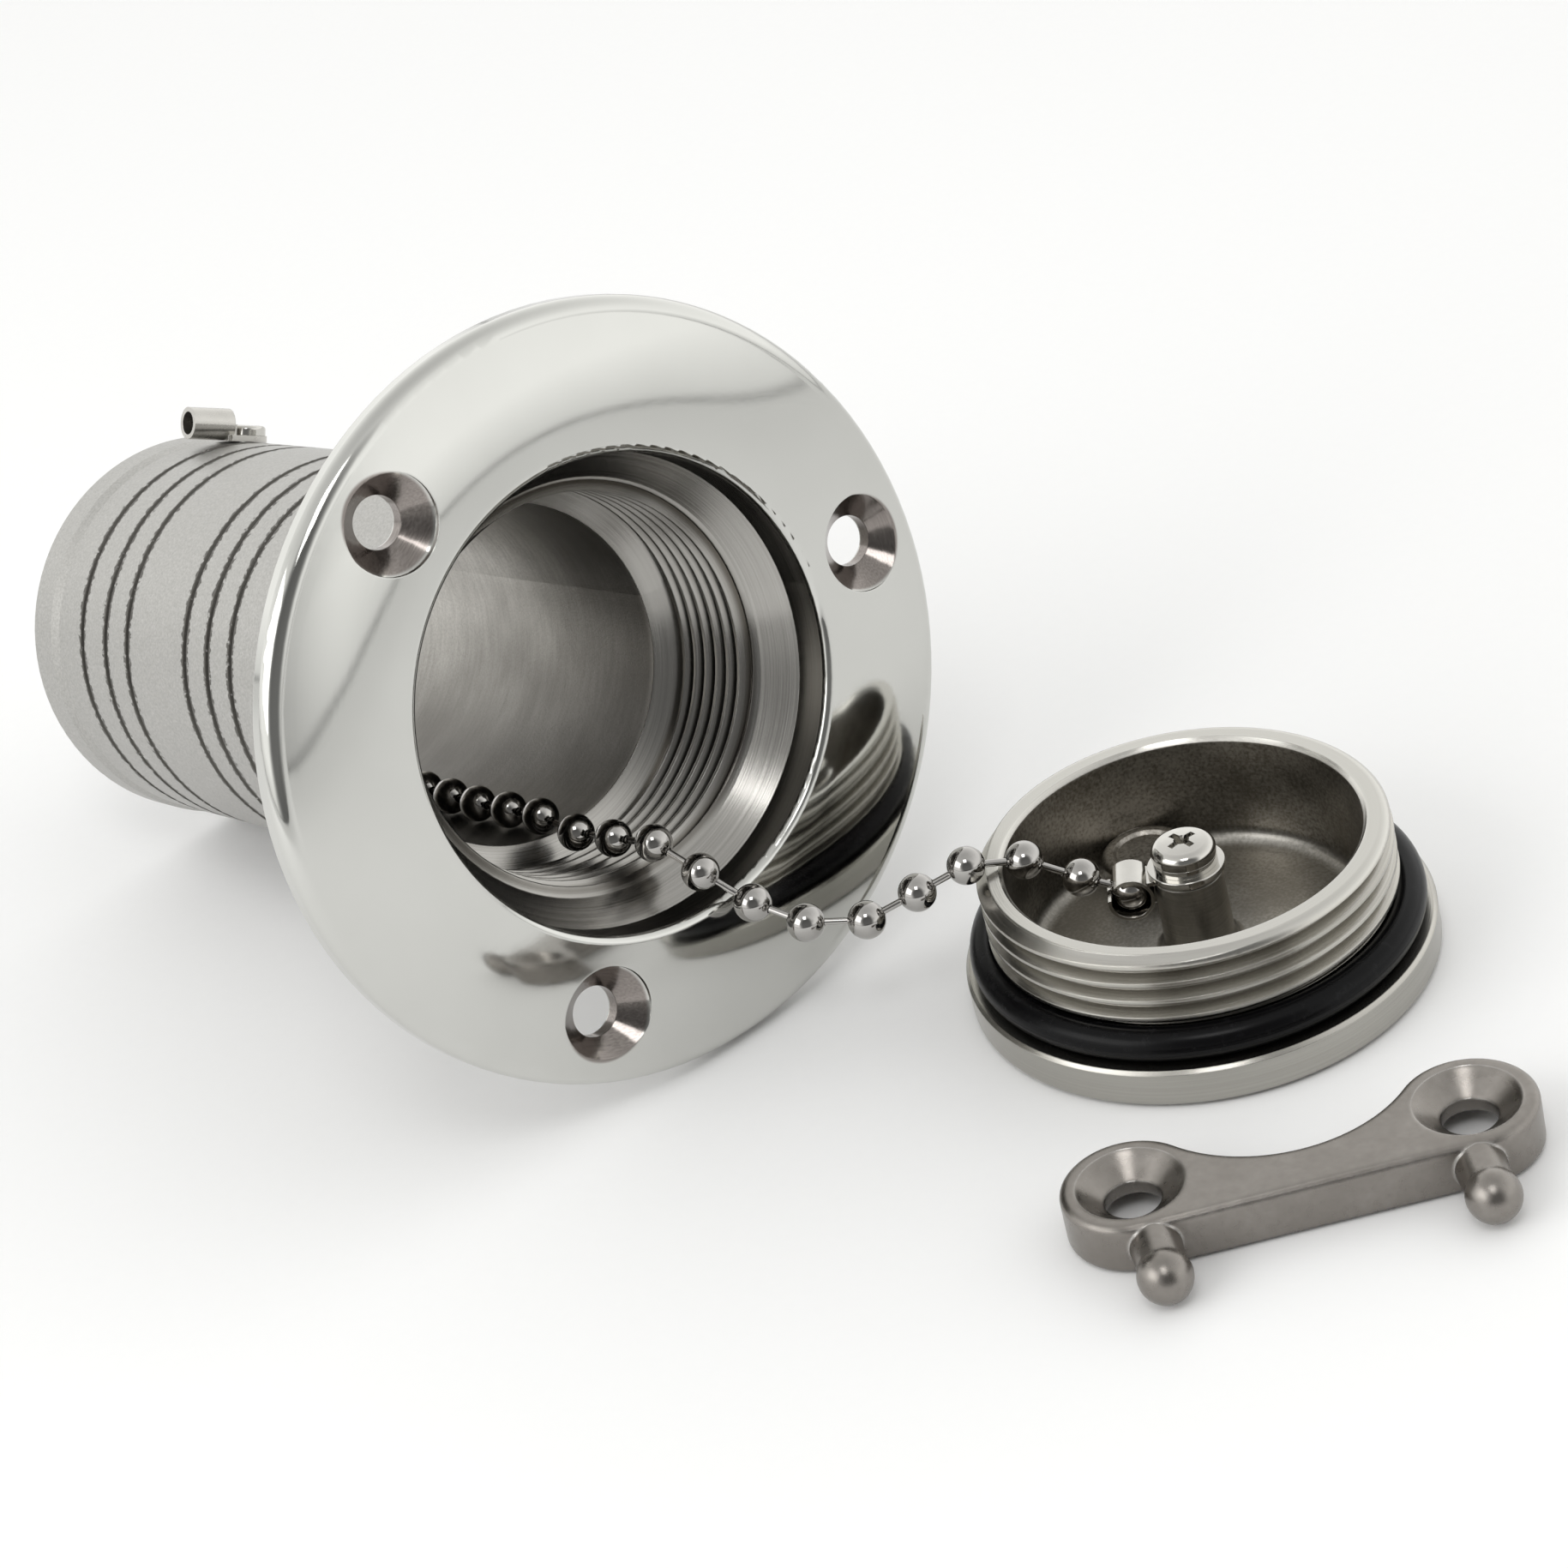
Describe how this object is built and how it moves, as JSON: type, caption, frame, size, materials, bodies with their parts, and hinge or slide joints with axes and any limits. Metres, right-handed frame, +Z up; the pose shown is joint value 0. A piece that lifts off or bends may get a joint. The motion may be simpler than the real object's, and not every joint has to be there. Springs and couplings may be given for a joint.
{
  "type": "deck fill cap",
  "caption": "Screw-in deck filler for a boat: flanged housing with hose tail, threaded cap with O-ring on a ball chain, and a flat two-pin key.",
  "frame": {"origin": "centre of the footprint, on the table the pieces lie on", "axes": "+Z up, +X the way the housing's opening faces (tipped up 11.3 degrees), +Y to the side the cap lies on"},
  "size_m": [0.2116, 0.1118, 0.0886],
  "materials": {
    "polished_stainless": "polished",
    "turned_stainless": "turned satin",
    "cast_stainless": "tumbled",
    "bright_steel": "bright",
    "black_rubber": "smooth"
  },
  "bodies": {
    "housing": {"filler_housing": "polished_stainless", "earth_terminal": "bright_steel", "earth_screw": "bright_steel", "anchor_ring": "bright_steel", "anchor_clasp": "bright_steel", "chain_beads_inner": "bright_steel", "chain_links_inner": "bright_steel"},
    "chain_run": {"chain_beads_outer": "bright_steel", "chain_links_outer": "bright_steel"},
    "swivel": {"cap_clasp": "bright_steel"},
    "cap": {"cap_body": "turned_stainless", "cap_o_ring": "black_rubber", "cap_flat_washer": "bright_steel", "cap_spring_washer": "bright_steel", "cap_screw": "bright_steel"},
    "key": {"deck_key": "cast_stainless"}
  },
  "joints": [
    {"name": "cap_carry", "type": "hinge", "parent": "housing", "child": "chain_run", "pos_m": [0.01564, 0.00427, 0.01245], "axis": [0.483, -0.7808, -0.3963], "range_deg": [0, 114.71], "deforming": ["chain_beads_inner", "chain_links_inner", "chain_beads_outer", "chain_links_outer"]},
    {"name": "cap_advance", "type": "slide", "parent": "chain_run", "child": "swivel", "axis": [0, 0, 1], "range_m": [0, 0.01847]},
    {"name": "cap_turn", "type": "hinge", "parent": "swivel", "child": "cap", "pos_m": [0.04472, 0.02857, 0.008], "axis": [0, 0, 1], "range_deg": [0, 2880]},
    {"name": "key_lift", "type": "slide", "parent": "housing", "child": "key", "axis": [0, 0, 1], "range_m": [0, 0.06]}
  ],
  "couplings": [
    {"joint": "cap_advance", "follows": "cap_turn", "m_per_rad": 0.00036749}
  ]
}
